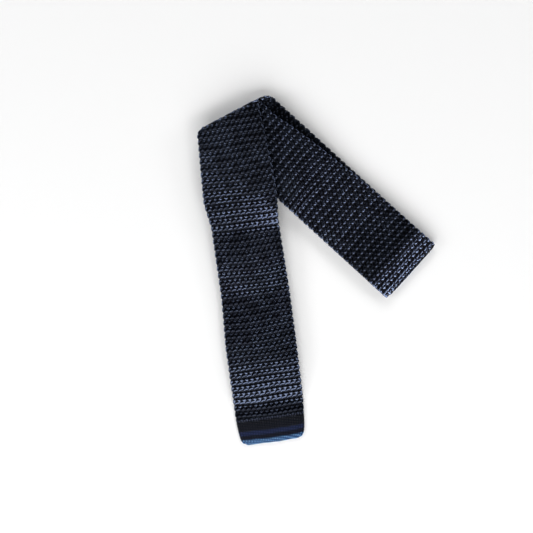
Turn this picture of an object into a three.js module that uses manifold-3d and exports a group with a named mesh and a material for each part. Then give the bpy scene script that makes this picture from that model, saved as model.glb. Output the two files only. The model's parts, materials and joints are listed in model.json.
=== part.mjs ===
// A square-ended silk knit necktie, folded twice over and laid down as an inverted V.
// Six lengths of flattened knit tube lie on each other, and five creases join them.
// Millimetres, +Z up. Each leg of the V has its own coordinates: s runs along the leg from
// the apex crease, and w runs across it, positive to the leg's left when looking along s.

import * as THREE from 'three';
import { mergeVertices } from 'three/addons/utils/BufferGeometryUtils.js';
import Module from 'manifold-3d';

const wasm = await Module();
wasm.setup();

// Cloth
const CLOTH = 2.4; // thickness of the flattened tube
const LAYER = 2.7; // rise from one layer to the next
const GAP = 0.3; // air between neighbouring pieces
const CREASE_RADIUS = LAYER / 2; // bend radius of the cloth's middle at a crease

// The V in plan
const LEFT_ANGLE = THREE.MathUtils.degToRad(-82.2);
const RIGHT_ANGLE = THREE.MathUtils.degToRad(-42.2);
const CREASE_ANGLE = (LEFT_ANGLE + RIGHT_ANGLE + Math.PI) / 2; // direction of the apex crease
const LEFT_SHIFT = -2.3; // how far each leg's middle runs beside the apex point
const RIGHT_SHIFT = 3.6;
const SIDE_CREASE = 201.5; // s of the crease at the right leg's end
const BOTTOM_CREASE = 212; // s of the crease that the lower left lengths share
const FRONT_END = 281.5; // s of the front blade's bottom edge
const TAIL_END = 184; // s of the tail's end, hidden in the right leg

// Where the legs come down off each other, and off what lies under the front blade
const CROSSING = 48; // s where a leg's middle leaves the other leg
const CROSSING_SKEW = 1.19; // change of that s for each millimetre across
const LANDING = 100; // s where the layers have come down from the crossing
const KEEPER_LIFT = 1.8; // how far the keeper and labels hold the front blade up
const KEEPER_DROP = [123, 153]; // s where the blade comes down past the labels
const FLOOR_DROP = [209, 247]; // there it comes down to the floor, past the bottom crease
const TIP_SINK = 2.4; // how far the right leg's folded end sinks, past the tail's end
const TIP_DROP = [184, SIDE_CREASE];
const DROP_POWER = 1.6; // a slope that steepens until it lands

// Seams, hems and bands, as lengths along the cloth
const SEAM = 1.2;
const SEAM_INSET = 0.3;
const NECK_SEAM = 112;
const TAIL_SEAM = 118;
const FRONT_SEAM = 260;
const FRONT_HEM = 8;
const TAIL_HEM = 10;
const TAIL_STRIPE = 6;

// The hollow neck and the tape inside it
const WALL = 0.7;
const SIDE_WALL = 1.5;
const TAPE_WIDTH = 12;
const TAPE_THICKNESS = 0.4;
const TAPE_INSET = 1; // how far the tape stops short of the tube's ends

// Keeper loop and labels on the back of the front blade
const KEEPER_AT = 106;
const KEEPER = { length: 9, width: 46, thickness: 0.6, stand: 0.95, foot: 5 };
const TACK = { length: 7, width: 1.4, thickness: 0.4 };
const LABEL = { at: 130, across: -6, length: 20, width: 34, thickness: 0.5 };
const LABEL_STITCH = { width: 1, thickness: 0.3 };
const CARE_LABEL = { at: 130, across: 20, length: 14, width: 11, thickness: 0.5 };

// Steps of the meshes
const ACROSS_STEPS = 6;
const CROSSING_STEPS = [4, 10]; // on the crossing, and coming down from it
const SHORT_STEPS = 4;
const BAND_STEPS = 8;
const TURN_STEPS = { round: 10, along: 8 };
const KEEPER_STEPS = 16;

// Edges of each length of cloth: s, w of one edge, w of the other
const EDGES = {
  front: [[0, -29.5, 26], [18, -29.5, 27.5], [47, -30.9, 30.2], [72, -32, 31], [93, -28.4, 29],
    [155, -28, 30.4], [197, -30.2, 30.2], [246, -30, 29.5], [261, -30, 28.4], [272, -29, 27.4],
    [277, -28.2, 26.2], [279.5, -26.5, 24.6], [281.5, -22.5, 21]],
  middle: [[0, -34, 21.7], [27, -32.5, 20.6], [41, -31.6, 23], [70, -30.7, 25.9], [108, -30.6, 28.8],
    [140, -30.6, 30.3], [SIDE_CREASE, -30.6, 31]],
  rear: [[0, -30, 30.8], [SIDE_CREASE, -30.6, 30.8]],
  shoulder: [[0, -25.1, 34.6], [40, -27, 29], [60, -27, 27], [112, -20, 20]],
  neck: [[112, -19, 19], [212, -19, 19]],
  tail: [[0, -24, 24], [90, -24, 24], [118, -19.5, 19.5]],
  tailEnd: [[0, -24, 24], [178, -24, 24], [182, -22.5, 22.5], [184, -20, 20]],
};

const { clamp, lerp } = THREE.MathUtils;
const unit = (angle) => new THREE.Vector2(Math.cos(angle), Math.sin(angle));

// Finish of each kind of cloth or thread
const finish = (color, roughness) => new THREE.MeshStandardMaterial({ color, roughness, metalness: 0 });
const FINISHES = {
  knit: finish(0x14151f, 0.62),
  rib: finish(0x10111a, 0.6),
  stripe: finish(0x4a6aa8, 0.55),
  thread: finish(0x1b1d2c, 0.5),
  tape: finish(0xcfcabd, 0.85),
  label: finish(0x23252f, 0.55),
  careLabel: finish(0xe6e4de, 0.7),
};

const tie = new THREE.Group();

function add(name, geometry, material) {
  geometry.computeVertexNormals();
  const mesh = new THREE.Mesh(geometry, material);
  mesh.name = name;
  tie.add(mesh);
  return mesh;
}

// A leg of the V: its direction, the direction across it, and its own start point
function makeLeg(angle, shift, mirror) {
  const along = unit(angle);
  const across = unit(angle + Math.PI / 2);
  const origin = across.clone().multiplyScalar(shift);
  const start = (w) => mirror * (w + shift) * Math.tan(LEFT_ANGLE + Math.PI / 2 - CREASE_ANGLE);
  return { along, across, origin, start, mirror };
}

const LEFT = makeLeg(LEFT_ANGLE, LEFT_SHIFT, 1);
const RIGHT = makeLeg(RIGHT_ANGLE, RIGHT_SHIFT, -1);

function onLeg(leg, s, w, z) {
  const x = leg.origin.x + leg.along.x * s + leg.across.x * w;
  const y = leg.origin.y + leg.along.y * s + leg.across.y * w;
  return new THREE.Vector3(x, y, z);
}

// Drop from 1 to 0 between two places, steepening until it lands
const drop = (s, from, to) => 1 - clamp((s - from) / (to - from), 0, 1) ** DROP_POWER;

// 1 where a leg lies over or under the other leg, 0 where it lies clear of it
const crossingEnd = (leg, w) => CROSSING + leg.mirror * CROSSING_SKEW * w;
const crossed = (leg, s, w) => drop(s, crossingEnd(leg, w), LANDING);

// How far the right leg's upper lengths have sunk towards their end
const sunk = (s) => TIP_SINK * (1 - drop(s, ...TIP_DROP));

// Height of each length's underside
const HEIGHT = {
  tailEnd: () => 0,
  tail: (s, w) => LAYER * crossed(LEFT, s, w),
  neck: (s, w) => LAYER * (1 + crossed(LEFT, s, w)),
  rear: (s, w) => LAYER * (1 + 2 * crossed(RIGHT, s, w)) - sunk(s),
  middle: (s, w) => LAYER * (2 + 2 * crossed(RIGHT, s, w)) - sunk(s),
  front: (s, w) => {
    const rested = 2 * LAYER * drop(s, ...FLOOR_DROP) + KEEPER_LIFT * drop(s, ...KEEPER_DROP);
    return lerp(rested, 5 * LAYER, crossed(LEFT, s, w));
  },
};

function edgesAt(table, s) {
  const last = table.length - 1;
  if (s <= table[0][0]) return [table[0][1], table[0][2]];
  if (s >= table[last][0]) return [table[last][1], table[last][2]];
  const i = table.findIndex((row) => row[0] > s);
  const share = (s - table[i - 1][0]) / (table[i][0] - table[i - 1][0]);
  return [1, 2].map((k) => lerp(table[i - 1][k], table[i][k], share));
}

// A length of cloth on a leg. stops gives, for a place across the leg, the s of each line that
// bounds a stretch of it, and counts the steps in each stretch. low and high lift its two faces
// above the height that it rests at.
function strip({ leg, table, height, stops, counts, low = 0, high = CLOTH, inset = 0 }) {
  const total = counts.reduce((sum, count) => sum + count, 0);
  const geometry = new THREE.BoxGeometry(1, 1, 1, total, ACROSS_STEPS, 1);
  const place = geometry.attributes.position;
  for (let i = 0; i < place.count; i += 1) {
    const across = place.getY(i) + 0.5;
    let step = Math.round((place.getX(i) + 0.5) * total);
    let stretch = 0;
    while (step > counts[stretch]) {
      step -= counts[stretch];
      stretch += 1;
    }
    let w = 0;
    let s = 0;
    for (let pass = 0; pass < 8; pass += 1) {
      const lines = stops(w);
      s = lerp(lines[stretch], lines[stretch + 1], step / counts[stretch]);
      const [one, other] = edgesAt(table, s);
      w = lerp(one + inset, other - inset, across);
    }
    const lift = place.getZ(i) < 0 ? low : high;
    place.setXYZ(i, ...onLeg(leg, s, w, height(s, w) + lift));
  }
  return geometry;
}

// A length that starts at the apex crease and comes down from the crossing
function legStrip({ leg, lines, counts, ...rest }) {
  const stops = (w) => {
    const start = leg.start(w) + GAP;
    return [start, Math.max(crossingEnd(leg, w), start + GAP), LANDING, ...lines];
  };
  return strip({ leg, stops, counts: [...CROSSING_STEPS, ...counts], ...rest });
}

// A length cut square across the leg at both ends
function squareStrip({ from, to, steps = SHORT_STEPS, ...rest }) {
  return strip({ stops: () => [from, to], counts: [steps], ...rest });
}

// Half a turn of cloth. ends gives the places along the crease where the lower and the upper
// length meet it, out is the way that the crease points, base is the height it rests at.
function crease({ origin, out, base, ends }) {
  const geometry = new THREE.BoxGeometry(1, 1, 1, TURN_STEPS.round, TURN_STEPS.along, 1);
  const along = new THREE.Vector2(out.y, -out.x);
  const centre = base + CLOTH / 2 + CREASE_RADIUS;
  const place = geometry.attributes.position;
  for (let i = 0; i < place.count; i += 1) {
    const turned = place.getX(i) + 0.5;
    const across = place.getY(i) + 0.5;
    const angle = Math.PI * turned;
    const radius = CREASE_RADIUS + place.getZ(i) * CLOTH;
    const a = lerp(lerp(...ends.lower, across), lerp(...ends.upper, across), turned);
    const reach = radius * Math.sin(angle);
    const x = origin.x + along.x * a + out.x * reach;
    const y = origin.y + along.y * a + out.y * reach;
    place.setXYZ(i, x, y, centre - radius * Math.cos(angle));
  }
  return geometry;
}

// The apex creases share one line; each leg's edges meet it at these places along it
const APEX = { origin: new THREE.Vector2(), out: unit(CREASE_ANGLE + Math.PI / 2) };

function apexEnds(leg, table) {
  const line = unit(CREASE_ANGLE);
  const [one, other] = edgesAt(table, 0);
  return [one, other].map((w) => {
    const point = onLeg(leg, leg.start(w), w, 0);
    return point.x * line.x + point.y * line.y;
  });
}

function apexCrease(level, lower, upper) {
  return crease({ ...APEX, base: level * LAYER, ends: { lower, upper } });
}

function endCrease(leg, s, base, table) {
  const [one, other] = edgesAt(table, s);
  const middle = onLeg(leg, s, 0, 0);
  const origin = new THREE.Vector2(middle.x, middle.y);
  const ends = [-other, -one];
  return crease({ origin, out: leg.along, base, ends: { lower: ends, upper: ends } });
}

// Booleans
function solid(geometry) {
  const bare = geometry.clone();
  bare.deleteAttribute('normal');
  bare.deleteAttribute('uv');
  const merged = mergeVertices(bare);
  const vertProperties = new Float32Array(merged.attributes.position.array);
  const triVerts = new Uint32Array(merged.index.array);
  return new wasm.Manifold(new wasm.Mesh({ numProp: 3, vertProperties, triVerts }));
}

function surface(manifold) {
  const mesh = manifold.getMesh();
  const geometry = new THREE.BufferGeometry();
  geometry.setAttribute('position', new THREE.BufferAttribute(new Float32Array(mesh.vertProperties), 3));
  geometry.setIndex(new THREE.BufferAttribute(new Uint32Array(mesh.triVerts), 1));
  return geometry;
}

// The neck: a flat tube, open at both ends, with a stay tape lying inside it
function neckTube(name, tapeName, height, from, to) {
  const common = { leg: LEFT, table: EDGES.neck, height };
  const outside = squareStrip({ ...common, from, to });
  const hollow = { low: WALL, high: CLOTH - WALL, inset: SIDE_WALL };
  const inside = squareStrip({ ...common, ...hollow, from: from - GAP, to: to + GAP });
  add(name, surface(solid(outside).subtract(solid(inside))), FINISHES.knit);
  const low = (CLOTH - TAPE_THICKNESS) / 2;
  const table = [[0, -TAPE_WIDTH / 2, TAPE_WIDTH / 2]];
  const ends = { from: from + TAPE_INSET, to: to - TAPE_INSET };
  const tape = { ...common, ...ends, table, low, high: low + TAPE_THICKNESS };
  add(tapeName, squareStrip(tape), FINISHES.tape);
}

// A knitted band across the end of a length of cloth
function band(name, end, from, to, material) {
  add(name, squareStrip({ ...end, from, to, steps: BAND_STEPS }), material);
}

// A line of sewing across a length of cloth, thinner than the cloth
function seam(name, end, from) {
  const low = SEAM_INSET;
  const high = CLOTH - SEAM_INSET;
  add(name, squareStrip({ ...end, from, to: from + SEAM, low, high, steps: 1 }), FINISHES.thread);
}

// Something flat on the back of the front blade, depth under the cloth
function onBack(name, item, across, material, depth = GAP) {
  const geometry = squareStrip({
    leg: LEFT,
    table: [[0, across - item.width / 2, across + item.width / 2]],
    height: HEIGHT.front,
    from: item.at - item.length / 2,
    to: item.at + item.length / 2,
    low: -depth - item.thickness,
    high: -depth,
  });
  add(name, geometry, material);
}

// The keeper is a flat band whose two feet rise to the cloth
function keeperLoop() {
  const geometry = new THREE.BoxGeometry(1, 1, 1, 2, KEEPER_STEPS, 1);
  const place = geometry.attributes.position;
  const half = KEEPER.width / 2;
  for (let i = 0; i < place.count; i += 1) {
    const s = KEEPER_AT + place.getX(i) * KEEPER.length;
    const w = place.getY(i) * KEEPER.width;
    const rise = clamp((half - Math.abs(w)) / KEEPER.foot - 1, 0, 1);
    const top = -lerp(GAP, KEEPER.stand, THREE.MathUtils.smoothstep(rise, 0, 1));
    const z = HEIGHT.front(s, w) + top + (place.getZ(i) - 0.5) * KEEPER.thickness;
    place.setXYZ(i, ...onLeg(LEFT, s, w, z));
  }
  return geometry;
}

// Tail, lowest length of the right leg
const tailEnd = { leg: RIGHT, table: EDGES.tailEnd, height: HEIGHT.tailEnd };
const tailStripeFrom = TAIL_END - TAIL_STRIPE;
const tailHemFrom = tailStripeFrom - GAP - TAIL_HEM;
const tailSeamFrom = tailHemFrom - GAP - SEAM;
add('tail_end', legStrip({ ...tailEnd, lines: [tailSeamFrom - GAP], counts: [2] }), FINISHES.knit);
seam('tail_hem_seam', tailEnd, tailSeamFrom);
band('tail_hem', tailEnd, tailHemFrom, tailHemFrom + TAIL_HEM, FINISHES.rib);
band('tail_edge_stripe', tailEnd, tailStripeFrom, TAIL_END, FINISHES.stripe);
add('tail_fold', apexCrease(0, apexEnds(RIGHT, EDGES.tailEnd), apexEnds(LEFT, EDGES.tail)), FINISHES.knit);

// Tail to neck, lowest length of the left leg
const tailUpper = { leg: LEFT, table: EDGES.tail, height: HEIGHT.tail };
add('tail_upper', legStrip({ ...tailUpper, lines: [TAIL_SEAM], counts: [2] }), FINISHES.knit);
seam('tail_seam', { ...tailUpper, table: EDGES.neck }, TAIL_SEAM + GAP);
const neckEnd = BOTTOM_CREASE - GAP;
neckTube('neck_tail_side', 'stay_tape_tail_side', HEIGHT.tail, TAIL_SEAM + SEAM + 2 * GAP, neckEnd);
add('bottom_fold', endCrease(LEFT, BOTTOM_CREASE, 0, EDGES.neck), FINISHES.knit);

// Neck to blade, second length of the left leg
const shoulder = { leg: LEFT, table: EDGES.shoulder, height: HEIGHT.neck };
neckTube('neck_blade_side', 'stay_tape_blade_side', HEIGHT.neck, NECK_SEAM + SEAM + 2 * GAP, neckEnd);
seam('neck_seam', { ...shoulder, table: EDGES.neck }, NECK_SEAM + GAP);
add('blade_shoulder', legStrip({ ...shoulder, lines: [NECK_SEAM], counts: [2] }), FINISHES.knit);
add('neck_fold', apexCrease(2, apexEnds(LEFT, EDGES.shoulder), apexEnds(RIGHT, EDGES.rear)), FINISHES.knit);

// Blade, second and top lengths of the right leg
const sideEnd = { leg: RIGHT, lines: [TIP_DROP[0], SIDE_CREASE - GAP], counts: [4, 6] };
add('blade_rear', legStrip({ ...sideEnd, table: EDGES.rear, height: HEIGHT.rear }), FINISHES.knit);
const sideBase = LAYER - TIP_SINK;
add('side_fold', endCrease(RIGHT, SIDE_CREASE, sideBase, EDGES.rear), FINISHES.knit);
add('blade_middle', legStrip({ ...sideEnd, table: EDGES.middle, height: HEIGHT.middle }), FINISHES.knit);
add('front_fold', apexCrease(4, apexEnds(RIGHT, EDGES.middle), apexEnds(LEFT, EDGES.front)), FINISHES.knit);

// Front blade, top length of the left leg, with its hem
const front = { leg: LEFT, table: EDGES.front, height: HEIGHT.front };
const frontLines = [...KEEPER_DROP, ...FLOOR_DROP, FRONT_SEAM - GAP];
add('front_blade', legStrip({ ...front, lines: frontLines, counts: [1, 6, 3, 8, 1] }), FINISHES.knit);
seam('front_hem_seam', front, FRONT_SEAM);
const frontHemFrom = FRONT_SEAM + SEAM + GAP;
band('front_hem', front, frontHemFrom, frontHemFrom + FRONT_HEM, FINISHES.rib);
band('front_edge_stripe', front, frontHemFrom + FRONT_HEM + GAP, FRONT_END, FINISHES.stripe);

// Keeper loop with its two bar tacks, and the labels
add('keeper_loop', keeperLoop(), FINISHES.knit);
const tackDepth = GAP + KEEPER.thickness + GAP;
for (const [name, side] of [['keeper_tack_left', -1], ['keeper_tack_right', 1]]) {
  const across = side * (KEEPER.width / 2 - KEEPER.foot / 2);
  onBack(name, { ...TACK, at: KEEPER_AT }, across, FINISHES.thread, tackDepth);
}
onBack('main_label', LABEL, LABEL.across, FINISHES.label);
const stitchDepth = GAP + LABEL.thickness + GAP;
const stitch = { ...LABEL_STITCH, at: LABEL.at, length: LABEL.length - 2 * LABEL_STITCH.width };
for (const [name, side] of [['label_stitch_left', -1], ['label_stitch_right', 1]]) {
  const across = LABEL.across + side * (LABEL.width / 2 - 2 * LABEL_STITCH.width);
  onBack(name, stitch, across, FINISHES.thread, stitchDepth);
}
onBack('care_label', CARE_LABEL, CARE_LABEL.across, FINISHES.careLabel);

// The origin is under the middle of the folded tie
const box = new THREE.Box3().setFromObject(tie);
const centre = box.getCenter(new THREE.Vector3());
tie.position.set(-centre.x, -centre.y, -box.min.z);

export default tie;
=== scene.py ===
"""A square-ended silk knit necktie, folded as a V, seen from straight above on a pale floor.

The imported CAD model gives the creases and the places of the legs. Each length of cloth is built
here as a flattened knit tube, with every stitch in its mesh. Lengths are in millimetres until
the meshes are made.
"""
import json
import math

import bpy
import numpy as np
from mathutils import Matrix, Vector


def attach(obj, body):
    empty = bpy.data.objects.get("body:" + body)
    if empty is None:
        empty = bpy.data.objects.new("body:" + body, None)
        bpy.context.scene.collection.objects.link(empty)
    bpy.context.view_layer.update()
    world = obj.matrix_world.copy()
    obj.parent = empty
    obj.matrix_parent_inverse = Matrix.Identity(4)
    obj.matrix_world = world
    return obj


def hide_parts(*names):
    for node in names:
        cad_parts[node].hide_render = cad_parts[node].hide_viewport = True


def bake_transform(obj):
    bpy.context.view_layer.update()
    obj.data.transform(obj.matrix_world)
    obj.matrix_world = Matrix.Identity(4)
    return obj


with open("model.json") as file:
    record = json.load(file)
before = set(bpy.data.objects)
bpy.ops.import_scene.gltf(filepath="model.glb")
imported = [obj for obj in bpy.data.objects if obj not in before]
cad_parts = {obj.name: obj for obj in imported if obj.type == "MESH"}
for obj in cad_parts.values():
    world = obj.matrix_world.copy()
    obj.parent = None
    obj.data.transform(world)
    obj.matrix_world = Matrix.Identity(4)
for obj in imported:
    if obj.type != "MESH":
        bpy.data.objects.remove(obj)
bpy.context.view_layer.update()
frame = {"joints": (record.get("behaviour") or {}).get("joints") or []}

MM = 0.001
RNG = np.random.default_rng(20)

# Cloth and layers, as in the CAD model
CLOTH = 2.4
LAYER = 2.7
CREASE_RADIUS = LAYER / 2
ARC = math.pi * CREASE_RADIUS
HINGE_REACH = ARC / 2
HALF = 0.8  # half the thickness of a flattened tube, without its stitches
GAP = 0.3
NECK_RELIEF = 0.6  # share of the stitches' depth on the neck, so that no hole reaches its tape

# The V in plan, as in the CAD model
SIDE_CREASE = 201.5
BOTTOM_CREASE = 212.0
FRONT_END = 281.5
TAIL_END = 184.0
SHIFTS = {"left": -2.3, "right": 3.6}
CROSSING = 48.0
CROSSING_SKEW = 1.19
LANDING = 100.0
KEEPER_LIFT = 1.8
KEEPER_DROP = (123.0, 153.0)
FLOOR_DROP = (209.0, 247.0)
TIP_SINK = 2.4
TIP_DROP = (184.0, SIDE_CREASE)
DROP_POWER = 1.6
SHORTEST_DROP = 6.0  # a drop is never steeper than over this length
SOFT_REACH = 1.6  # how far the cloth's turns are softened along it

SEAM = 1.2
NECK_SEAM = 112.0
TAIL_SEAM = 118.0
FRONT_SEAM = 260.0
FRONT_HEM = 8.0
TAIL_HEM = 10.0
TAIL_STRIPE = 6.0

# Knit: one coarse row and one stitch, and the finer ones of the hems
ROW = 5.75
STITCH = 4.35
FIRST_COLUMN = 400  # a column number far from 0, so that none is negative
SCALLOP = 0.22  # how far each row stands out at the edges
STRIPE_BOW = 1.1  # how far the stripes of the hem bow
EDGE_WAVE = 0.4  # how far the striped edge waves
RIB_ROW = 2.3
RIB = 2.1

CORNER_CUT = 2.2  # how far a crease's corners are rounded back
CORNER_REACH = 7.0  # how far from the cloth's edge that starts
APEX_REACH = 60.0  # rows are slanted as the apex crease is, less and less, up to here

# Edges are rounded off between their points over this much of their length, less near a square end
EDGE_REACH = {"front": 3.0, "other": 2.0, "end": 0.3}
END_ZONE = 12.0

# Beside the front blade the middle length is darker, which stands for the front blade's shade
SHADE_WIDTH = 11.0
SHADE_LEAST = 0.4

# the left and right edge of each length of cloth, from its leg's middle, at places along the leg
EDGES = {
    "front": [(0, -29.5, 26), (18, -29.5, 27.5), (47, -30.9, 30.2), (72, -32, 31), (93, -28.4, 29),
              (155, -28, 30.4), (197, -30.2, 30.2), (246, -30, 29.5), (261, -30, 28.4),
              (272, -29, 27.4), (277, -28.2, 26.2), (279.5, -26.5, 24.6), (281.5, -22.5, 21)],
    "middle": [(0, -34, 21.7), (27, -32.5, 20.6), (41, -31.6, 23), (70, -30.7, 25.9),
               (108, -30.6, 28.8), (140, -30.6, 30.3), (SIDE_CREASE, -30.6, 31)],
    "rear": [(0, -30, 30.8), (SIDE_CREASE, -30.6, 30.8)],
    "shoulder": [(0, -25.1, 34.6), (40, -27, 29), (60, -27, 27), (112, -20, 20)],
    "neck": [(112, -19, 19), (212, -19, 19)],
    "tail": [(0, -24, 24), (90, -24, 24), (118, -19.5, 19.5)],
    "tail_end": [(0, -24, 24), (178, -24, 24), (182, -22.5, 22.5), (184, -20, 20)],
}


# ---------------------------------------------------------------- the frame's legs and creases

JOINTS = {j["name"]: j for j in frame["joints"]}


def leg(name, joint, crease_s):
    """A leg of the V, from the crease at its far end: where it starts, and its two directions."""
    across = np.array(JOINTS[joint]["axis"][:2])
    along = np.array([across[1], -across[0]])
    pin = np.array(JOINTS[joint]["pos_m"][:2]) / MM
    return {"across": across, "along": along, "origin": pin - along * (crease_s + HINGE_REACH),
            "mirror": 1 if name == "left" else -1, "shift": SHIFTS[name]}


LEGS = {"left": leg("left", "bottom_crease", BOTTOM_CREASE),
        "right": leg("right", "side_crease", SIDE_CREASE)}
CREASE_LINE = -np.array(JOINTS["front_crease"]["axis"][:2])
CREASE_OUT = np.array([-CREASE_LINE[1], CREASE_LINE[0]])
APEX = np.array(JOINTS["front_crease"]["pos_m"][:2]) / MM - CREASE_OUT * HINGE_REACH
SLANT = math.tan(math.acos(float(np.dot(-CREASE_OUT, LEGS["left"]["along"]))))


def on_leg(where, s, w):
    """Plan position of s along and w across a leg."""
    return where["origin"] + s[..., None] * where["along"] + w[..., None] * where["across"]


def leg_start(where, w):
    """s where a leg meets the apex creases."""
    return -where["mirror"] * (w + where["shift"]) * SLANT


def ramp(s, start, end):
    return 1 - np.clip((s - start) / (end - start), 0, 1) ** DROP_POWER


def crossed(where, s, w):
    start = CROSSING + where["mirror"] * CROSSING_SKEW * w
    return ramp(s, np.minimum(start, LANDING - SHORTEST_DROP), LANDING)


def soften(function, s, w):
    """The mean of a height near a place, so that cloth turns softly where it lands."""
    return sum(function(s + step, w) for step in (-SOFT_REACH, 0, SOFT_REACH)) / 3


def front_height(s, w):
    rested = 2 * LAYER * ramp(s, *FLOOR_DROP) + KEEPER_LIFT * ramp(s, *KEEPER_DROP)
    share = crossed(LEGS["left"], s, w)
    return rested + (5 * LAYER - rested) * share


def sunk(s):
    return TIP_SINK * (1 - ramp(s, *TIP_DROP))


HEIGHTS = {
    "tail_end": lambda s, w: 0 * s,
    "tail": lambda s, w: LAYER * crossed(LEGS["left"], s, w),
    "neck": lambda s, w: LAYER * (1 + crossed(LEGS["left"], s, w)),
    "rear": lambda s, w: LAYER * (1 + 2 * crossed(LEGS["right"], s, w)) - sunk(s),
    "middle": lambda s, w: LAYER * (2 + 2 * crossed(LEGS["right"], s, w)) - sunk(s),
    "front": front_height,
}


def edges_at(table, s):
    """The two edges of a length of cloth at s, rounded off between their points."""
    xs = [row[0] for row in table]
    reach = EDGE_REACH["front" if table is EDGES["front"] else "other"]
    reach = np.where(s > table[-1][0] - END_ZONE, EDGE_REACH["end"], reach)
    found = []
    for side in (1, 2):
        ys = [row[side] for row in table]
        found.append(sum(np.interp(s + k * reach, xs, ys) for k in (-1, -0.5, 0, 0.5, 1)) / 5)
    return found


# ---------------------------------------------------------------- stitches

JITTER_ROWS = 400
JITTER_COLUMNS = 80
JITTER = RNG.uniform(-1, 1, (JITTER_ROWS, JITTER_COLUMNS))


def jitter(rows, columns):
    """A steady random number for each stitch."""
    row = np.floor(rows).astype(int) % JITTER_ROWS
    column = np.floor(columns).astype(int) % JITTER_COLUMNS
    return JITTER[row, column]


def dome(x, y):
    """A round-topped bump, 1 at its middle and 0 from radius 1."""
    return np.sqrt(np.clip(1 - x * x - y * y, 0, 1))


def around(x):
    """x less its nearest whole number."""
    return x - np.round(x)


def knit(rows, columns):
    """Height of the coarse knit, about 1 on a knot. Each row has a furrow with slanting holes,
    then a line of round knots, small pits, and a rope of slanting loops."""
    loose = jitter(rows, columns + 0.5)
    row = rows - np.floor(rows)
    hole_column = around(columns)
    knot_column = around(columns - 0.5 + 0.12 * (row - 0.25) + 0.04 * loose)
    knots = dome(knot_column / 0.34, (row - 0.27 - 0.02 * loose) / 0.20) * (1.1 + 0.25 * loose)
    rope_row = (row - 0.70 + 0.06 * np.cos(2 * np.pi * columns)) / 0.235
    rope = np.clip(1 - rope_row ** 2, 0, 1) ** 0.25
    loops = 0.52 + 0.20 * np.cos(2 * np.pi * (columns + 0.45 * rope_row - 0.1)) + 0.10 * loose
    arms = dome(around(columns - 0.5 - 0.45 * (row - 0.45)) / 0.2, (row - 0.46) / 0.2) * 0.5
    height = np.maximum(np.maximum(knots, rope * loops), np.maximum(arms, -0.05))
    furrow = np.exp(-(around(rows) / 0.06) ** 4)
    hole = np.exp(-(((hole_column + 0.9 * around(rows - 0.035)) / 0.30) ** 2
                    + (around(rows - 0.035) / 0.15) ** 2) ** 2)
    pit = np.exp(-(((hole_column - 0.04) / 0.19) ** 2 + ((row - 0.44) / 0.09) ** 2) ** 2)
    return height - 0.45 * furrow - 1.5 * hole - 0.7 * pit


def rib(rows, columns):
    """Height of the fine rib: narrow cords along the tie, each a line of small slanting loops."""
    cord = 0.5 + 0.5 * np.cos(2 * np.pi * columns)
    loops = 0.55 + 0.45 * np.cos(2 * np.pi * (rows + 0.8 * columns))
    return 1.5 * cord * loops - 0.6


def chain(rows, columns):
    """Height of a line of chain stitch."""
    link = dome(around(columns) / 0.46, around(rows) / 0.48)
    return 1.6 * link - 0.8


def woven(rows, columns):
    """Height of a thin woven tape or label, with its diagonal lines."""
    lines = np.cos(2 * np.pi * (rows + columns))
    return 0.5 * lines + 0.3 * np.cos(2 * np.pi * columns) * np.cos(2 * np.pi * rows)


# each pattern's height, its row and stitch pitch, and the depth of its relief
PATTERNS = {
    "knit": (knit, ROW, STITCH, 0.42),
    "rib": (rib, RIB_ROW, RIB, 0.42),
    "fine_rib": (rib, 1.5, 1.45, 0.18),
    "chain": (chain, SEAM, 2.2, 0.4),
    "satin": (woven, 0.8, 0.8, 0.05),
    "tape": (woven, 1.2, 1.2, 0.07),
    "stitches": (chain, 1.4, 1.4, 0.12),
}


# ---------------------------------------------------------------- meshes

# mesh steps for each stitch across the top and the bottom, and for each row
STEPS = {"fine": ((9, 4), 10), "hidden": ((5, 4), 6), "band": ((6, 4), 6)}
LEAST_ACROSS = 24
LEAST_ALONG = 6
END_RINGS = 7  # rings round a closed end
CREASE_STEPS = 8  # mesh steps for each stitch across a crease
CREASE_RINGS = 16
CREASE_THINNING = 0.93  # a crease is a little thinner than the lengths that it joins
TUCK = 0.03  # the share of a crease's turn by which it reaches into each length
INNER_RELIEF = 0.35  # share of the stitches' depth on the inside of a crease


def ring(width, half, top_steps, bottom_steps):
    """Places round a flattened tube with half circles for edges: the share across, the height
    in halves, and the distance round from one edge. Last, the whole distance round."""
    flat = width - 2 * half
    quarter = math.pi * half / 2
    length = flat + 2 * quarter
    places = []
    for side, steps in ((1, top_steps), (-1, bottom_steps)):
        for k in range(steps):
            run = length * k / steps
            if side < 0:
                run = length - run
            if run < quarter:
                angle = run / half
                spot = (half * (1 - math.cos(angle)), math.sin(angle))
            elif run > length - quarter:
                angle = (length - run) / half
                spot = (width - half * (1 - math.cos(angle)), math.sin(angle))
            else:
                spot = (half + run - quarter, 1.0)
            around_it = run if side > 0 else 2 * length - run
            places.append((spot[0] / width, side * spot[1], around_it))
    share, up, places_round = np.array(places).T
    return share, up, places_round, 2 * length


def grid_normals(points):
    """Outward normals of a closed tube's grid."""
    along = np.gradient(points, axis=0)
    about = (np.roll(points, -1, axis=1) - np.roll(points, 1, axis=1)) / 2
    normals = np.cross(about, along)
    normals /= np.linalg.norm(normals, axis=2, keepdims=True) + 1e-12
    outward = points - points.mean(axis=1, keepdims=True)
    return normals * np.sign((normals * outward).sum())


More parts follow.
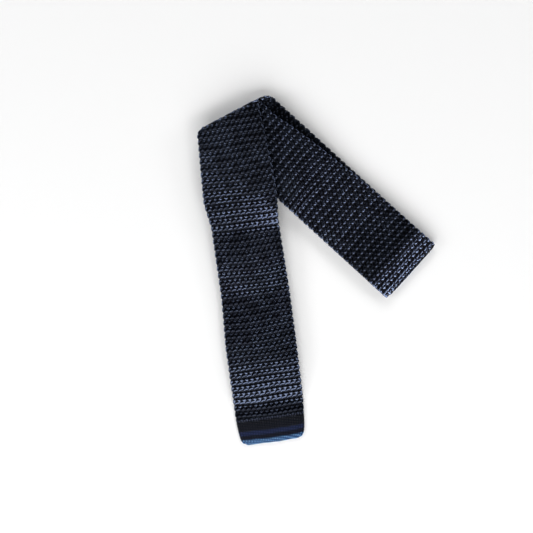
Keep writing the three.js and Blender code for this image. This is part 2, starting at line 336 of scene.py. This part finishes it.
def tube_mesh(name, points, values):
    """A closed mesh from a grid of rings, with its per-vertex values."""
    rows, count = points.shape[:2]
    ends = np.array([points[0].mean(axis=0), points[-1].mean(axis=0)])
    verts = np.concatenate([points.reshape(-1, 3), ends]) * MM
    i, k = np.meshgrid(np.arange(rows - 1), np.arange(count), indexing="ij")
    nxt = (k + 1) % count
    quads = np.stack([i * count + k, i * count + nxt, (i + 1) * count + nxt, (i + 1) * count + k], -1)
    quads = quads.reshape(-1, 4)
    edge = np.arange(count)
    after = (edge + 1) % count
    first = np.stack([after, edge, np.full(count, rows * count)], -1)
    base = (rows - 1) * count
    last = np.stack([base + edge, base + after, np.full(count, rows * count + 1)], -1)
    fans = np.concatenate([first, last])
    mesh = bpy.data.meshes.new(name)
    mesh.vertices.add(len(verts))
    mesh.vertices.foreach_set("co", verts.ravel())
    loops = np.concatenate([quads.ravel(), fans.ravel()])
    mesh.loops.add(len(loops))
    mesh.loops.foreach_set("vertex_index", loops.astype(np.int32))
    sizes = np.concatenate([np.full(len(quads), 4), np.full(len(fans), 3)])
    starts = np.concatenate([[0], np.cumsum(sizes)[:-1]])
    mesh.polygons.add(len(sizes))
    mesh.polygons.foreach_set("loop_start", starts.astype(np.int32))
    mesh.polygons.foreach_set("use_smooth", np.ones(len(sizes), bool))
    mesh.update(calc_edges=True)
    mesh.validate()
    if volume(mesh) < 0:
        mesh.flip_normals()
    for key, value in values.items():
        spread = np.concatenate([value.ravel(), [0.0, 0.0]])
        attribute_data = mesh.attributes.new(key, "FLOAT", "POINT").data
        attribute_data.foreach_set("value", spread.astype(np.float32))
    obj = bpy.data.objects.new(name, mesh)
    bpy.context.scene.collection.objects.link(obj)
    return obj


def volume(mesh):
    """Signed volume of a closed mesh: negative if its faces point in."""
    co = np.zeros(len(mesh.vertices) * 3)
    mesh.vertices.foreach_get("co", co)
    co = co.reshape(-1, 3)
    mesh.calc_loop_triangles()
    tri = np.zeros(len(mesh.loop_triangles) * 3, np.int32)
    mesh.loop_triangles.foreach_get("vertices", tri)
    a, b, c = co[tri.reshape(-1, 3)].transpose(1, 0, 2)
    return float((np.cross(a, b) * c).sum() / 6)


def dress(name, points, rows, columns, pattern, material, dye_and_painted_light, strength=1.0):
    """Puts the stitches on a tube's grid and makes its mesh."""
    shape, row, stitch, depth = PATTERNS[pattern]
    height = shape(rows / row, columns / stitch)
    lift = (depth * strength * height)[..., None]
    points = points + lift * grid_normals(points)
    # the colour's scale, stored with the mesh, carries painted light and shade as well as uneven dyeing
    values = {"relief": np.clip(0.5 + 0.5 * height, 0, 1), "yarn_row": rows / row,
              "yarn_column": columns / stitch, "dye_and_painted_light": dye_and_painted_light}
    obj = tube_mesh(name, points, values)
    obj.data.materials.append(material)
    return obj


def sway(rows, columns):
    """How far a row's line wanders along the tie, a little, across and along it."""
    return (0.5 * np.sin(rows / 31.0 + columns / 24.0) + 0.9 * (columns / 30.0) ** 2
            + 0.35 * np.sin(rows / 11.0 - columns / 9.0))


def cloth(name, where, table, height, start, end, run, pattern="knit", fine=True, material=None,
          apex=False, closed_end=False, half=HALF, middle=CLOTH / 2, dye_and_painted_light=None, strength=1.0):
    """A length of cloth on a leg. run turns s into the distance along the whole tie, half is half of
    its thickness, middle is its mid-height above the height given, and strength is the share of its
    stitches' full depth. The scale on its colour at places along the leg is mostly painted light and
    shade, with some uneven dyeing."""
    _, row, stitch, _ = PATTERNS[pattern]
    detail = "band" if pattern != "knit" else "fine" if fine else "hidden"
    across_steps, along_steps = STEPS[detail]
    width = table_width(table, (start + end) / 2)
    top, bottom = (max(LEAST_ACROSS, round(width / stitch * k)) for k in across_steps)
    share, up, about, girth = ring(width, half, top, bottom)
    count = max(LEAST_ALONG, round((end - start) / row * along_steps))
    steps = np.linspace(start, end, count + 1)
    if closed_end:
        rest = np.linspace(0, math.pi / 2, END_RINGS)[1:]
        steps = np.concatenate([steps[steps < end - half], end - half + half * np.sin(rest)])
    s_line = np.repeat(steps[:, None], len(share), 1)
    s = s_line.copy()
    for _ in range(5):
        one, other = edges_at(table, s)
        w = one + (other - one) * share
        if apex:
            slant = leg_start(where, w) + corner(w, one, other)
            s = s_line + slant * np.clip(1 - s_line / APEX_REACH, 0, 1)
    if pattern == "knit":
        side = 2 * share - 1
        s_rows = (run(s) + sway(run(s), w)) / row
        w = w + SCALLOP * side ** 5 * np.cos(2 * np.pi * (s_rows - 0.62))
    thick = np.full_like(s, half)
    if closed_end:
        past = np.clip((s - end + half) / half, 0, 0.99)
        thick = half * np.sqrt(1 - past ** 2)
    z = soften(height, s, w) + middle + up * thick
    if closed_end:
        s = s + EDGE_WAVE * np.sin(w / 5.2 + 1.2) * (s - start) / (end - start)
    plan = on_leg(where, s, w)
    points = np.concatenate([plan, z[..., None]], 2)
    rows = run(s)
    rows = rows + sway(rows, w) if pattern == "knit" else rows
    columns = stitch_columns(about, girth, stitch, turn=run(1.0) - run(0.0)) + 0 * s
    # a scale on the colour: painted light and shade along the leg, with some uneven dyeing
    painted_light_and_dye_scale = np.interp(s, *zip(*dye_and_painted_light)) if dye_and_painted_light else np.ones_like(s)
    # the middle length is painted darker beside the front blade's right edge, as that blade's shade
    if table is EDGES["middle"]:
        painted_light_and_dye_scale = painted_light_and_dye_scale * painted_shade_beside_front(plan)
    return dress(name, points, rows, columns, pattern, material, painted_light_and_dye_scale, strength)


def painted_shade_beside_front(plan):
    """The share of its colour that cloth keeps beside and under the front blade's right edge, which is
    painted shade of the front blade. It is painted, so it stays when the front crease opens."""
    place = plan - LEGS["left"]["origin"]
    edge = edges_at(EDGES["front"], place @ LEGS["left"]["along"])[1]
    clear = np.clip((place @ LEGS["left"]["across"] - edge) / SHADE_WIDTH, 0, 1)
    return SHADE_LEAST + (1 - SHADE_LEAST) * clear ** 2 * (3 - 2 * clear)


def stitch_columns(about, girth, stitch, turn):
    """Distance round the tube, stretched to hold a whole number of stitches. turn is -1 where the
    cloth runs back towards the apex, so that its stitches lie the other way."""
    count = round(girth / stitch)
    return turn * (about / girth - 0.25) * count * stitch + FIRST_COLUMN * stitch


def corner(w, one, other):
    """How far a crease's corners are rounded back, near the cloth's edges."""
    near = np.minimum(w - one, other - w)
    return CORNER_CUT * np.clip(1 - near / CORNER_REACH, 0, 1) ** 2


def crease(name, base, turn, origin, out, ends, width, runs, dye_and_painted_light, rounding, material):
    """Half a turn of cloth between two layers. ends holds, for the lower and the upper layer, the
    places along the crease of the cloth's two edges, and runs their distance along the tie."""
    steps = round(width / STITCH * CREASE_STEPS)
    half = HALF * CREASE_THINNING
    share, up, about, girth = ring(width, half, steps, steps)
    turns = np.linspace(-TUCK, 1 + TUCK, CREASE_RINGS)[:, None]
    angle = np.pi * np.clip(turns, 0, 1)
    reach = CREASE_RADIUS - up * half
    lower = ends[0][0] + (ends[0][1] - ends[0][0]) * share
    upper = ends[1][0] + (ends[1][1] - ends[1][0]) * share
    a = lower + (upper - lower) * np.clip(turns, 0, 1)
    past = -np.abs(turns - np.clip(turns, 0, 1)) * ARC
    along = np.array([out[1], -out[0]])
    across = (share - 0.5) * width
    rounded = rounding * corner(across, -width / 2, width / 2)
    outward = reach * np.sin(angle) + past - rounded
    plan = origin + a[..., None] * along + outward[..., None] * out
    centre = base + CLOTH / 2 + CREASE_RADIUS
    z = centre - reach * np.cos(angle)
    points = np.concatenate([plan, z[..., None]], 2)
    rows = runs[0](share) + (runs[1](share) - runs[0](share)) * turns
    columns = stitch_columns(about, girth, STITCH, turn=turn) + 0 * turns
    inside = np.where(up > 0, INNER_RELIEF, 1.0) + 0 * turns
    rows = rows + sway(rows, across + 0 * turns)
    return dress(name, points, rows, columns, "knit", material, np.full_like(rows, dye_and_painted_light), inside)


# ---------------------------------------------------------------- materials

def new_material(name):
    material = bpy.data.materials.new(name)
    material.use_nodes = True
    nodes = material.node_tree.nodes
    return material, nodes, material.node_tree.links, nodes["Principled BSDF"]


def attribute(nodes, name):
    node = nodes.new("ShaderNodeAttribute")
    node.attribute_name = name
    return node.outputs["Fac"]


def color_ramp(nodes, stops):
    node = nodes.new("ShaderNodeValToRGB")
    ramp_stops = node.color_ramp.elements
    while len(ramp_stops) < len(stops):
        ramp_stops.new(0.5)
    for element, (place, color) in zip(ramp_stops, stops):
        element.position = place
        element.color = (*color, 1)
    return node


def silk(name, dark, low, glow, rough=0.24, shine=0.96, spec=0.2, tops_from=(0.58, 0.70)):
    """Silk yarn. Its rounded tops shine almost as metal does, and the sides and hollows of its stitches
    are painted darker, as shade, and shine less. It has fine twisted plies, uneven tone, and a scale on
    its colour that is mostly painted light and shade. glow is the colour of the shine."""
    material, nodes, links, shader = new_material(name)
    # the hollows of the stitches are painted darker than their tops, as shade
    relief = color_ramp(nodes, [(0.15, dark), (0.70, low), (0.76, glow)])
    links.new(attribute(nodes, "relief"), relief.inputs["Fac"])
    coords = nodes.new("ShaderNodeTexCoord")
    patches = nodes.new("ShaderNodeTexNoise")
    patches.inputs["Scale"].default_value = 38
    patches.inputs["Detail"].default_value = 6
    links.new(coords.outputs["Object"], patches.inputs["Vector"])
    tones = color_ramp(nodes, [(0.3, (0.60, 0.60, 0.66)), (0.7, (1.2, 1.18, 1.14))])
    links.new(patches.outputs["Fac"], tones.inputs["Fac"])
    shade = nodes.new("ShaderNodeMixRGB")
    shade.blend_type = "MULTIPLY"
    shade.inputs["Fac"].default_value = 0.55
    links.new(relief.outputs["Color"], shade.inputs[1])
    links.new(tones.outputs["Color"], shade.inputs[2])
    # scales the colour by the mesh's stored scale: painted light and shade, with some uneven dyeing
    scaled_by_dye_and_painted_light = nodes.new("ShaderNodeVectorMath")
    scaled_by_dye_and_painted_light.operation = "SCALE"
    links.new(shade.outputs["Color"], scaled_by_dye_and_painted_light.inputs[0])
    links.new(attribute(nodes, "dye_and_painted_light"), scaled_by_dye_and_painted_light.inputs["Scale"])
    links.new(scaled_by_dye_and_painted_light.outputs["Vector"], shader.inputs["Base Color"])
    tops = nodes.new("ShaderNodeMapRange")
    tops.inputs["From Min"].default_value = tops_from[0]
    tops.inputs["From Max"].default_value = tops_from[1]
    tops.inputs["To Max"].default_value = shine
    links.new(attribute(nodes, "relief"), tops.inputs["Value"])
    links.new(tops.outputs["Result"], shader.inputs["Metallic"])
    place = nodes.new("ShaderNodeCombineXYZ")
    links.new(attribute(nodes, "yarn_column"), place.inputs[0])
    links.new(attribute(nodes, "yarn_row"), place.inputs[1])
    plies = nodes.new("ShaderNodeTexWave")
    plies.bands_direction = "DIAGONAL"
    plies.inputs["Scale"].default_value = 1.4
    plies.inputs["Distortion"].default_value = 2.5
    plies.inputs["Detail"].default_value = 2
    links.new(place.outputs[0], plies.inputs["Vector"])
    fibres = nodes.new("ShaderNodeTexNoise")
    fibres.inputs["Scale"].default_value = 2600
    links.new(coords.outputs["Object"], fibres.inputs["Vector"])
    both = nodes.new("ShaderNodeMath")
    both.operation = "ADD"
    links.new(plies.outputs["Fac"], both.inputs[0])
    links.new(fibres.outputs["Fac"], both.inputs[1])
    bump = nodes.new("ShaderNodeBump")
    bump.inputs["Strength"].default_value = 0.18
    bump.inputs["Distance"].default_value = 0.00012
    links.new(both.outputs[0], bump.inputs["Height"])
    links.new(bump.outputs["Normal"], shader.inputs["Normal"])
    gloss = nodes.new("ShaderNodeMapRange")
    gloss.inputs["To Min"].default_value = rough - 0.05
    gloss.inputs["To Max"].default_value = rough + 0.08
    links.new(patches.outputs["Fac"], gloss.inputs["Value"])
    links.new(gloss.outputs["Result"], shader.inputs["Roughness"])
    shader.inputs["Specular IOR Level"].default_value = spec
    shader.inputs["Specular Tint"].default_value = (0.6, 0.7, 1.0, 1)
    return material


SILK = silk("navy_silk", (0.0004, 0.0004, 0.0004), (0.004, 0.0036, 0.0044), (0.080, 0.100, 0.155))
RIB_BLACK = silk("black_rib", (0.0004, 0.0004, 0.0004), (0.0012, 0.0012, 0.0014),
                 (0.050, 0.050, 0.058), rough=0.35, shine=0.8, tops_from=(0.5, 0.75))
THREAD = silk("navy_thread", (0.001, 0.001, 0.002), (0.006, 0.006, 0.009), (0.06, 0.07, 0.11))


def woven_cloth(name, dark, light, rough):
    """A thin woven cloth, painted darker between its raised threads as shade, with fine uneven fibres.
    """
    material, nodes, links, shader = new_material(name)
    # the hollows between the threads are painted darker, as shade
    threads = color_ramp(nodes, [(0.1, dark), (0.8, light)])
    links.new(attribute(nodes, "relief"), threads.inputs["Fac"])
    coords = nodes.new("ShaderNodeTexCoord")
    fibres = nodes.new("ShaderNodeTexNoise")
    fibres.inputs["Scale"].default_value = 900
    fibres.inputs["Detail"].default_value = 4
    links.new(coords.outputs["Object"], fibres.inputs["Vector"])
    tones = color_ramp(nodes, [(0.3, (0.8, 0.8, 0.8)), (0.7, (1.1, 1.1, 1.1))])
    links.new(fibres.outputs["Fac"], tones.inputs["Fac"])
    shade = nodes.new("ShaderNodeMixRGB")
    shade.blend_type = "MULTIPLY"
    shade.inputs["Fac"].default_value = 1.0
    links.new(threads.outputs["Color"], shade.inputs[1])
    links.new(tones.outputs["Color"], shade.inputs[2])
    links.new(shade.outputs["Color"], shader.inputs["Base Color"])
    gloss = nodes.new("ShaderNodeMapRange")
    gloss.inputs["To Min"].default_value = rough + 0.1
    gloss.inputs["To Max"].default_value = rough - 0.1
    links.new(fibres.outputs["Fac"], gloss.inputs["Value"])
    links.new(gloss.outputs["Result"], shader.inputs["Roughness"])
    bump = nodes.new("ShaderNodeBump")
    bump.inputs["Strength"].default_value = 0.25
    bump.inputs["Distance"].default_value = 0.0001
    links.new(fibres.outputs["Fac"], bump.inputs["Height"])
    links.new(bump.outputs["Normal"], shader.inputs["Normal"])
    return material


LABEL_SATIN = woven_cloth("label_satin", (0.006, 0.008, 0.02), (0.03, 0.045, 0.11), 0.35)
CARE_WEAVE = woven_cloth("care_label_weave", (0.42, 0.41, 0.37), (0.74, 0.73, 0.68), 0.75)
COTTON_TAPE = woven_cloth("cotton_tape", (0.32, 0.29, 0.23), (0.62, 0.58, 0.50), 0.85)


def striped(name, marks):
    """The rib's silk, in bands of colour across the tie."""
    material = silk(name, *[(0.5, 0.5, 0.5)] * 3, rough=0.4, shine=0.35)
    nodes, links = material.node_tree.nodes, material.node_tree.links
    shader = nodes["Principled BSDF"]
    bands = color_ramp(nodes, marks)
    links.new(attribute(nodes, "stripe"), bands.inputs["Fac"])
    shade = nodes.new("ShaderNodeMixRGB")
    shade.blend_type = "MULTIPLY"
    shade.inputs["Fac"].default_value = 1.0
    # the rib's hollows are painted dark, as shade, and its tops painted lighter, as a highlight
    depth = color_ramp(nodes, [(0.22, (0.01, 0.02, 0.04)), (0.45, (0.12, 0.18, 0.30)),
                               (0.72, (2.0, 1.8, 1.5))])
    links.new(attribute(nodes, "relief"), depth.inputs["Fac"])
    links.new(bands.outputs["Color"], shade.inputs[1])
    links.new(depth.outputs["Color"], shade.inputs[2])
    links.new(shade.outputs["Color"], shader.inputs["Base Color"])
    return material


NAVY = (0.020, 0.032, 0.105)
BLACK = (0.006, 0.007, 0.012)
BRIGHT = (0.13, 0.30, 0.62)
STRIPES = striped("blue_stripes", [(0.0, BLACK), (0.05, NAVY), (0.30, NAVY), (0.38, BLACK),
                                       (0.60, BLACK), (0.72, BRIGHT), (1.0, BRIGHT)])


# ---------------------------------------------------------------- the tie's lengths of cloth

# scale on the yarn's colour at places along a leg. It is mostly painted light and shade: brighter where
# soft folds of the real tie face the light and darker where they are in shade, folds that the mesh
# doesn't have, with painted highlights at the ends by the side crease and the apex. The rest stands for
# uneven dyeing.
DYE_AND_PAINTED_LIGHT = {
    "front": [(0, 0.75), (30, 0.95), (60, 1.05), (92, 1.1), (102, 0.85), (122, 0.85), (134, 1.12),
              (152, 1.05), (164, 0.72), (192, 0.75), (208, 1.0), (240, 1.15), (248, 1.0), (253, 0.35)],
    "middle": [(0, 1.0), (30, 1.0), (70, 1.05), (105, 1.35), (140, 1.3), (155, 0.8), (181, 0.5),
               (187, 2.0), (201, 2.5)],
    "rear": [(12, 1.8), (22, 0.4), (150, 0.45), (187, 0.9), (201, 1.5)],
}


def join(piece, body, node):
    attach(piece, body)
    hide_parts(node)
    return piece


def apex_ends(where, table):
    """Places along the apex crease where a length's two edges meet it."""
    one, other = (float(v[0]) for v in edges_at(table, np.array([0.0])))
    spots = []
    for w in (one, other):
        point = on_leg(where, np.array(leg_start(where, w)), np.array(w))
        spots.append(float(np.dot(point - APEX, CREASE_LINE)))
    return spots


def table_width(table, s):
    one, other = edges_at(table, np.array([float(s)]))
    return float(other[0] - one[0])


LEFT, RIGHT = LEGS["left"], LEGS["right"]
STEP = ARC / math.cos(math.atan(SLANT))

# distance along the whole tie, from the front blade's apex crease
RUNS = {
    "front": lambda s: s,
    "middle": lambda s: -(s + STEP),
    "rear": lambda s: s - (2 * SIDE_CREASE + ARC + STEP),
    "neck": lambda s: -(s + 2 * SIDE_CREASE + ARC + 2 * STEP),
    "tail": lambda s: s - (2 * (SIDE_CREASE + BOTTOM_CREASE) + 2 * ARC + 2 * STEP),
    "tail_end": lambda s: -(s + 2 * (SIDE_CREASE + BOTTOM_CREASE) + 2 * ARC + 3 * STEP),
}


def length_of_cloth(node, body, where, key, table, start, end, fine=False, apex=False):
    piece = cloth(node + "_knit", where, EDGES[table], HEIGHTS[key], start, end, RUNS[key],
                  fine=fine, material=SILK, apex=apex, dye_and_painted_light=DYE_AND_PAINTED_LIGHT.get(key),
                  strength=NECK_RELIEF if table == "neck" else 1.0)
    join(piece, body, node)


tail_stripe = TAIL_END - TAIL_STRIPE
tail_hem = tail_stripe - GAP - TAIL_HEM
tail_seam = tail_hem - GAP - SEAM
front_hem = FRONT_SEAM + SEAM + GAP
front_stripe = front_hem + FRONT_HEM + GAP

length_of_cloth("tail_end", "tail", RIGHT, "tail_end", "tail_end", 0, tail_seam, apex=True)
length_of_cloth("tail_upper", "tail_neck", LEFT, "tail", "tail", 0, TAIL_SEAM + GAP, apex=True)
length_of_cloth("neck_tail_side", "tail_neck", LEFT, "tail", "neck", TAIL_SEAM + SEAM, BOTTOM_CREASE)
length_of_cloth("neck_blade_side", "neck", LEFT, "neck", "neck", NECK_SEAM + SEAM, BOTTOM_CREASE)
length_of_cloth("blade_shoulder", "neck", LEFT, "neck", "shoulder", 0, NECK_SEAM + GAP, apex=True)
length_of_cloth("blade_rear", "rear_blade", RIGHT, "rear", "rear", 0, SIDE_CREASE, apex=True)
length_of_cloth("blade_middle", "middle_blade", RIGHT, "middle", "middle", 0, SIDE_CREASE,
                fine=True, apex=True)
length_of_cloth("front_blade", "front", LEFT, "front", "front", 0, FRONT_SEAM, fine=True, apex=True)


def crease_piece(node, joint, base, *shape):
    """Half a turn of cloth."""
    piece = crease(node + "_knit", base, *shape, SILK)
    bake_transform(piece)
    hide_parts(node)


def apex_crease(node, joint, level, lower, upper, dye_and_painted_light=1.0):
    """lower and upper are (leg, edge table, run) of the lengths that the crease joins."""
    ends = [apex_ends(where, EDGES[table]) for where, table, _ in (lower, upper)]
    runs = []
    for where, table, key in (lower, upper):
        one, other = (float(v[0]) for v in edges_at(EDGES[table], np.array([0.0])))
        runs.append(lambda share, where=where, one=one, other=other, key=key:
                    RUNS[key](leg_start(where, one + (other - one) * share)))
    width = ends[0][1] - ends[0][0]
    crease_piece(node, joint, level * LAYER, -1, APEX, CREASE_OUT, ends, width, runs, dye_and_painted_light, 1.0)


def end_crease(node, joint, base, where, s, table, lower, upper, dye_and_painted_light=1.0, rounding=1.0):
    one, other = (float(v[0]) for v in edges_at(EDGES[table], np.array([float(s)])))
    origin = on_leg(where, np.array(float(s)), np.array(0.0))
    runs = [lambda share: RUNS[lower](s) + 0 * share, lambda share: RUNS[upper](s) + 0 * share]
    ends = [(-other, -one)] * 2
    crease_piece(node, joint, base, 1, origin, where["along"], ends, other - one, runs, dye_and_painted_light, rounding)


apex_crease("tail_fold", "tail_crease", 0, (RIGHT, "tail_end", "tail_end"), (LEFT, "tail", "tail"))
# the neck fold's colour is scaled up by 1.3 as a painted highlight at the apex tip
apex_crease("neck_fold", "neck_crease", 2, (LEFT, "shoulder", "neck"), (RIGHT, "rear", "rear"), dye_and_painted_light=1.3)
apex_crease("front_fold", "front_crease", 4, (RIGHT, "middle", "middle"), (LEFT, "front", "front"))
end_crease("bottom_fold", "bottom_crease", 0, LEFT, BOTTOM_CREASE, "neck", "tail", "neck")
# the side fold's colour is scaled up by 2.8 as a painted highlight where the cloth turns round the
# crease
end_crease("side_fold", "side_crease", LAYER - TIP_SINK, RIGHT, SIDE_CREASE, "rear", "rear", "middle",
           dye_and_painted_light=2.8, rounding=0.4)


def mark_stripes(piece, where, start, end):
    """Gives each vertex its share of the way across the striped edge. The stripes bow a little,
    and waver as knit does."""
    co = np.zeros(len(piece.data.vertices) * 3)
    piece.data.vertices.foreach_get("co", co)
    plan = co.reshape(-1, 3)[:, :2] / MM - where["origin"]
    s = plan @ where["along"]
    w = plan @ where["across"]
    bow = STRIPE_BOW * ((w / 28) ** 2 - 0.4) + 0.18 * np.sin(w / 3.1) + 0.12 * np.sin(w / 1.3 + 1)
    share = np.clip((s + bow - start) / (end - start), 0, 1)
    stripe = piece.data.attributes.new("stripe", "FLOAT", "POINT")
    stripe.data.foreach_set("value", share.astype(np.float32))


def hem_band(node, body, where, key, table, start, end, pattern, material, closed=False):
    piece = cloth(node + "_band", where, EDGES[table], HEIGHTS[key], start, end, RUNS[key],
                  pattern=pattern, fine=True, material=material, closed_end=closed)
    if closed:
        mark_stripes(piece, where, start, end)
    return join(piece, body, node)


hem_band("tail_hem_seam", "tail", RIGHT, "tail_end", "tail_end", tail_seam, tail_seam + SEAM + GAP,
         "chain", THREAD)
hem_band("tail_hem", "tail", RIGHT, "tail_end", "tail_end", tail_hem, tail_hem + TAIL_HEM + GAP,
         "rib", RIB_BLACK)
hem_band("tail_edge_stripe", "tail", RIGHT, "tail_end", "tail_end", tail_stripe, TAIL_END, "rib",
         STRIPES, closed=True)
hem_band("tail_seam", "tail_neck", LEFT, "tail", "neck", TAIL_SEAM + GAP, TAIL_SEAM + GAP + SEAM,
         "chain", THREAD)
hem_band("neck_seam", "neck", LEFT, "neck", "neck", NECK_SEAM + GAP, NECK_SEAM + GAP + SEAM,
         "chain", THREAD)
hem_band("front_hem_seam", "front", LEFT, "front", "front", FRONT_SEAM, FRONT_SEAM + SEAM + GAP,
         "chain", THREAD)
hem_band("front_hem", "front", LEFT, "front", "front", front_hem, front_hem + FRONT_HEM + GAP,
         "rib", RIB_BLACK)
hem_band("front_edge_stripe", "front", LEFT, "front", "front", front_stripe, FRONT_END, "rib",
         STRIPES, closed=True)


# ---------------------------------------------------------------- on the back of the front blade

KEEPER = {"at": 106.0, "length": 9.0, "width": 46.0, "thickness": 0.6, "stand": 0.95, "foot": 5.0}
TACK = {"length": 7.0, "width": 1.4, "thickness": 0.4}
LABEL = {"at": 130.0, "across": -6.0, "length": 20.0, "width": 34.0, "thickness": 0.5}
CARE_LABEL = {"at": 130.0, "across": 20.0, "length": 14.0, "width": 11.0, "thickness": 0.5}
STITCH_LINE = {"at": 130.0, "length": 18.0, "width": 1.0, "thickness": 0.3}
STITCH_SIDE = 15.0  # from the main label's middle to each line of stitches
TAPE_WIDTH = 12.0
TAPE_THICKNESS = 0.4
TAPE_INSET = 1.0  # how far the tape stops short of the tube's ends


def keeper_height(s, w):
    """The keeper stands off the blade, and its two feet rise to it."""
    rise = np.clip((KEEPER["width"] / 2 - np.abs(w)) / KEEPER["foot"] - 1, 0, 1)
    return front_height(s, w) - (KEEPER["stand"] - GAP) * rise ** 2 * (3 - 2 * rise)


def small_part(node, item, across, depth, pattern, material, height=front_height):
    """Something flat on the blade's back, depth under the cloth."""
    table = [(0, across - item["width"] / 2, across + item["width"] / 2)]
    ends = [item["at"] - item["length"] / 2, item["at"] + item["length"] / 2]
    half = item["thickness"] / 2
    piece = cloth(node + "_detail", LEFT, table, height, *ends, RUNS["front"], pattern=pattern,
                  material=material, half=half, middle=-depth - half)
    join(piece, "front", node)


small_part("keeper_loop", KEEPER, 0, GAP, "fine_rib", SILK, keeper_height)
small_part("main_label", LABEL, LABEL["across"], GAP, "satin", LABEL_SATIN)
small_part("care_label", CARE_LABEL, CARE_LABEL["across"], GAP, "satin", CARE_WEAVE)
for side_name, side_sign in (("left", -1), ("right", 1)):
    small_part("keeper_tack_" + side_name, {**TACK, "at": KEEPER["at"]},
               side_sign * (KEEPER["width"] - KEEPER["foot"]) / 2, 2 * GAP + KEEPER["thickness"],
               "stitches", THREAD)
    small_part("label_stitch_" + side_name, STITCH_LINE, LABEL["across"] + side_sign * STITCH_SIDE,
               2 * GAP + LABEL["thickness"], "stitches", THREAD)


def stay_tape(node, body, key, start):
    """The tape inside the hollow neck."""
    table = [(0, -TAPE_WIDTH / 2, TAPE_WIDTH / 2)]
    start, end = start + SEAM + 2 * GAP + TAPE_INSET, BOTTOM_CREASE - GAP - TAPE_INSET
    piece = cloth(node + "_detail", LEFT, table, HEIGHTS[key], start, end, RUNS[key], pattern="tape",
                  material=COTTON_TAPE, half=TAPE_THICKNESS / 2)
    join(piece, body, node)


stay_tape("stay_tape_tail_side", "tail_neck", "tail", TAIL_SEAM)
stay_tape("stay_tape_blade_side", "neck", "neck", NECK_SEAM)


# ---------------------------------------------------------------- floor, light and camera

FLOOR_SIZE = 6
FLOOR_GREY = 0.93
# name, place, size and power of each softbox, in metres and watts
SOFTBOXES = [
    ("key", (-0.1, -1.32, 1.0), (2.2, 1.5), 34),
    ("fill_left", (-1.7, -0.3, 0.75), (0.9, 0.5), 12),
    ("fill_right", (1.7, 0.4, 0.9), (0.9, 0.5), 6),
    ("fill_end", (0.72, -0.64, 1.1), (0.5, 0.5), 2.5),
    ("back", (0, 1.8, 0.9), (1.8, 0.8), 20),
]
# the sky's grey at heights from the horizon, 0, to straight up, 1
SKY = [(0.0, 0.14), (0.5, 0.13), (0.75, 0.05), (1.0, 0.004)]
CAMERA_HEIGHT = 2.0
CAMERA_PLACE = (-0.0426, 0.0024)
VIEW_WIDTH = 0.457  # width of floor that the camera sees
SENSOR_WIDTH = 36


def floor():
    bpy.ops.mesh.primitive_plane_add(size=FLOOR_SIZE, location=(0, 0, 0))
    plane = bpy.context.object
    plane.name = "floor"
    material, _, _, shader = new_material("pale_floor")
    shader.inputs["Base Color"].default_value = (FLOOR_GREY, FLOOR_GREY, FLOOR_GREY, 1)
    shader.inputs["Roughness"].default_value = 0.9
    shader.inputs["Specular IOR Level"].default_value = 0.1
    plane.data.materials.append(material)


def softbox(name, place, size, power):
    """A rectangular lamp that faces the middle of the floor."""
    data = bpy.data.lights.new(name, "AREA")
    data.shape = "RECTANGLE"
    data.size, data.size_y = size
    data.energy = power
    lamp = bpy.data.objects.new(name, data)
    lamp.location = place
    lamp.rotation_euler = (-Vector(place)).to_track_quat("-Z", "Y").to_euler()
    bpy.context.scene.collection.objects.link(lamp)


def studio():
    world = bpy.data.worlds.new("studio")
    world.use_nodes = True
    nodes, links = world.node_tree.nodes, world.node_tree.links
    coords = nodes.new("ShaderNodeTexCoord")
    split = nodes.new("ShaderNodeSeparateXYZ")
    sky = color_ramp(nodes, [(height, (grey, grey, grey)) for height, grey in SKY])
    links.new(coords.outputs["Generated"], split.inputs[0])
    links.new(split.outputs["Z"], sky.inputs["Fac"])
    links.new(sky.outputs["Color"], nodes["Background"].inputs["Color"])
    nodes["Background"].inputs["Strength"].default_value = 1.0
    bpy.context.scene.world = world
    bpy.context.scene.view_settings.view_transform = "Standard"
    for name, place, size, power in SOFTBOXES:
        softbox(name, place, size, power)


def camera():
    data = bpy.data.cameras.new("camera")
    view = bpy.data.objects.new("camera", data)
    data.sensor_width = SENSOR_WIDTH
    data.lens = data.sensor_width * CAMERA_HEIGHT / VIEW_WIDTH
    view.location = (*CAMERA_PLACE, CAMERA_HEIGHT)
    bpy.context.scene.collection.objects.link(view)
    bpy.context.scene.camera = view


floor()
studio()
camera()
